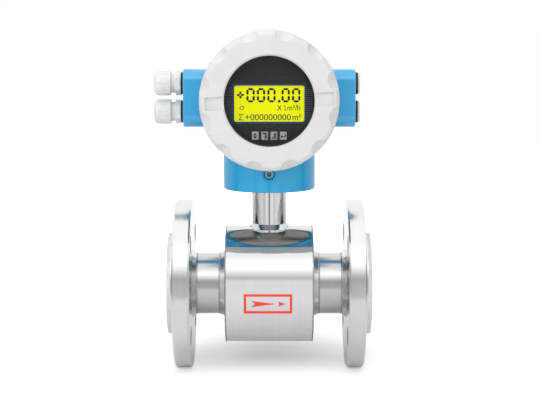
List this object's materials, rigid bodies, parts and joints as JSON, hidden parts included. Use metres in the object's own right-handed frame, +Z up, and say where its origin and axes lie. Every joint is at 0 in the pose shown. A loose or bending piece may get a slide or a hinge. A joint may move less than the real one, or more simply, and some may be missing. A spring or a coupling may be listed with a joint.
{
  "type": "electromagnetic flow meter",
  "caption": "Flanged flow meter: a polished tube sensor on a pipe spool with a round converter head, a display window, two cable glands and screw covers.",
  "frame": {"origin": "on the pipe axis at mid-length of the sensor", "axes": "+X along the flow, +Z up to the converter head, the display faces -Y"},
  "size_m": [0.2098, 0.165, 0.33],
  "materials": {
    "blue_paint": "gloss",
    "white_paint": "satin",
    "polished_steel": "polished",
    "machined_steel": "machined",
    "dark_steel": "dull",
    "screw_steel": "blackened",
    "electrode_steel": "polished",
    "ptfe": "matt",
    "copper": "varnished",
    "soft_iron": "rolled",
    "black_rubber": "matt",
    "grey_rubber": "matt",
    "nylon": "satin",
    "insulator_plastic": "matt",
    "glass": "clear",
    "mask_plastic": "matt",
    "navy_plastic": "gloss",
    "lcd_yellow": "lit",
    "key_plastic": "satin",
    "board_green": "lacquered",
    "black_plastic": "satin",
    "can_aluminium": "satin",
    "red_paint": "matt",
    "lead_jacket": "matt",
    "brass": "turned"
  },
  "bodies": {
    "meter": {"measuring_tube": "machined_steel", "liner": "ptfe", "inlet_flange": "polished_steel", "outlet_flange": "polished_steel", "sensor_shell": "polished_steel", "inlet_end_cap": "machined_steel", "outlet_end_cap": "machined_steel", "neck_tube": "polished_steel", "neck_plate": "dark_steel", "neck_gasket": "black_rubber", "neck_screws": "screw_steel", "upper_coil": "copper", "lower_coil": "copper", "upper_pole_shoe": "soft_iron", "lower_pole_shoe": "soft_iron", "magnet_yoke": "soft_iron", "front_electrode": "electrode_steel", "rear_electrode": "electrode_steel", "front_insulator": "insulator_plastic", "rear_insulator": "insulator_plastic", "electrode_nuts": "brass", "lead_grommet": "black_rubber", "sensor_leads": "lead_jacket", "flow_arrow_mark": "red_paint", "housing": "blue_paint", "earth_screw": "screw_steel", "display_mask": "mask_plastic", "lcd_frame": "navy_plastic", "lcd_panel": "lcd_yellow", "display_board": "board_green", "display_pillars": "brass", "board_pillars": "brass", "main_board": "board_green", "transformer": "black_plastic", "capacitors": "can_aluminium", "terminal_block": "black_plastic", "terminal_screws": "screw_steel", "upper_gland_washer": "black_rubber", "upper_gland_body": "nylon", "lower_gland_washer": "black_rubber", "lower_gland_body": "nylon"},
    "front_seal_ring": {"front_cover_seal": "black_rubber"},
    "front_cover_set": {"front_cover": "white_paint", "window_glass": "glass", "window_gasket": "grey_rubber", "window_clamp_ring": "can_aluminium"},
    "rear_seal_ring": {"rear_cover_seal": "black_rubber"},
    "rear_cover_set": {"rear_cover": "white_paint"},
    "upper_gland_ring": {"upper_gland_seal": "black_rubber"},
    "upper_gland_cap": {"upper_gland_nut": "nylon"},
    "lower_gland_ring": {"lower_gland_seal": "black_rubber"},
    "lower_gland_cap": {"lower_gland_nut": "nylon"},
    "upper_plug_ring": {"upper_plug_washer": "black_rubber"},
    "upper_plug_set": {"upper_plug": "nylon"},
    "lower_plug_ring": {"lower_plug_washer": "black_rubber"},
    "lower_plug_set": {"lower_plug": "nylon"},
    "menu_key": {"menu_key": "key_plastic"},
    "down_key": {"down_key": "key_plastic"},
    "up_key": {"up_key": "key_plastic"},
    "enter_key": {"enter_key": "key_plastic"}
  },
  "joints": [
    {"name": "front_cover_travel", "type": "slide", "parent": "meter", "child": "front_seal_ring", "axis": [0, -1, 0], "range_m": [0, 0.012]},
    {"name": "front_cover_turn", "type": "hinge", "parent": "front_seal_ring", "child": "front_cover_set", "pos_m": [0, -0.0463, 0.1825], "axis": [0, -1, 0], "range_deg": [0, 2160]},
    {"name": "rear_cover_travel", "type": "slide", "parent": "meter", "child": "rear_seal_ring", "axis": [0, 1, 0], "range_m": [0, 0.012]},
    {"name": "rear_cover_turn", "type": "hinge", "parent": "rear_seal_ring", "child": "rear_cover_set", "pos_m": [0, 0.0463, 0.1825], "axis": [0, 1, 0], "range_deg": [0, 2160]},
    {"name": "upper_gland_nut_travel", "type": "slide", "parent": "meter", "child": "upper_gland_ring", "axis": [-1, 0, 0], "range_m": [0, 0.006]},
    {"name": "upper_gland_nut_turn", "type": "hinge", "parent": "upper_gland_ring", "child": "upper_gland_cap", "pos_m": [-0.0953, 0, 0.19615], "axis": [-1, 0, 0], "range_deg": [0, 1440]},
    {"name": "lower_gland_nut_travel", "type": "slide", "parent": "meter", "child": "lower_gland_ring", "axis": [-1, 0, 0], "range_m": [0, 0.006]},
    {"name": "lower_gland_nut_turn", "type": "hinge", "parent": "lower_gland_ring", "child": "lower_gland_cap", "pos_m": [-0.0953, 0, 0.16885], "axis": [-1, 0, 0], "range_deg": [0, 1440]},
    {"name": "upper_plug_travel", "type": "slide", "parent": "meter", "child": "upper_plug_ring", "axis": [1, 0, 0], "range_m": [0, 0.009]},
    {"name": "upper_plug_turn", "type": "hinge", "parent": "upper_plug_ring", "child": "upper_plug_set", "pos_m": [0.0825, 0, 0.19615], "axis": [1, 0, 0], "range_deg": [0, 2160]},
    {"name": "lower_plug_travel", "type": "slide", "parent": "meter", "child": "lower_plug_ring", "axis": [1, 0, 0], "range_m": [0, 0.009]},
    {"name": "lower_plug_turn", "type": "hinge", "parent": "lower_plug_ring", "child": "lower_plug_set", "pos_m": [0.0825, 0, 0.16885], "axis": [1, 0, 0], "range_deg": [0, 2160]},
    {"name": "menu_key_press", "type": "slide", "parent": "meter", "child": "menu_key", "axis": [0, 1, 0], "range_m": [0, 0.0005], "stiffness_N_per_m": 1500},
    {"name": "down_key_press", "type": "slide", "parent": "meter", "child": "down_key", "axis": [0, 1, 0], "range_m": [0, 0.0005], "stiffness_N_per_m": 1500},
    {"name": "up_key_press", "type": "slide", "parent": "meter", "child": "up_key", "axis": [0, 1, 0], "range_m": [0, 0.0005], "stiffness_N_per_m": 1500},
    {"name": "enter_key_press", "type": "slide", "parent": "meter", "child": "enter_key", "axis": [0, 1, 0], "range_m": [0, 0.0005], "stiffness_N_per_m": 1500}
  ],
  "couplings": [
    {"joint": "front_cover_travel", "follows": "front_cover_turn", "m_per_rad": 0.0003183},
    {"joint": "rear_cover_travel", "follows": "rear_cover_turn", "m_per_rad": 0.0003183},
    {"joint": "upper_gland_nut_travel", "follows": "upper_gland_nut_turn", "m_per_rad": 0.0002387},
    {"joint": "lower_gland_nut_travel", "follows": "lower_gland_nut_turn", "m_per_rad": 0.0002387},
    {"joint": "upper_plug_travel", "follows": "upper_plug_turn", "m_per_rad": 0.0002387},
    {"joint": "lower_plug_travel", "follows": "lower_plug_turn", "m_per_rad": 0.0002387}
  ]
}
